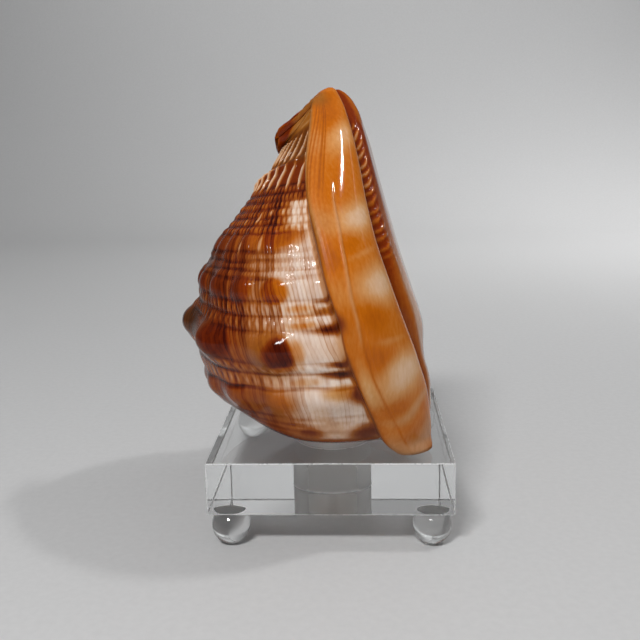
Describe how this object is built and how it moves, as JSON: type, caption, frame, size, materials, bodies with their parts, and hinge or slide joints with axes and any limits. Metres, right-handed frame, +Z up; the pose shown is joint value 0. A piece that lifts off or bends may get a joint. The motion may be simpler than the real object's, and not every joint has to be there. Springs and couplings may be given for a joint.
{
  "type": "helmet shell on a clear block",
  "caption": "Knobbed helmet shell with a thick smooth outer lip and a long slot, standing spire down in the bored hole of a clear square block on ball feet.",
  "frame": {"origin": "middle of the bottom of the whole object's box, level with the seats of the four ball feet", "axes": "+Z up along the bore, from the spire to the canal; the slot of the shell faces +X; the thick outer lip is on the front, -Y"},
  "size_m": [0.1024, 0.113, 0.1653],
  "materials": {
    "shell": "glazed, cream and orange with dark brown patches",
    "clear_acrylic": "clear, polished"
  },
  "bodies": {
    "root": {"shell": "shell", "acrylic_block": "clear_acrylic", "foot_front_left": "clear_acrylic", "foot_front_right": "clear_acrylic", "foot_back_left": "clear_acrylic", "foot_back_right": "clear_acrylic"}
  },
  "joints": []
}
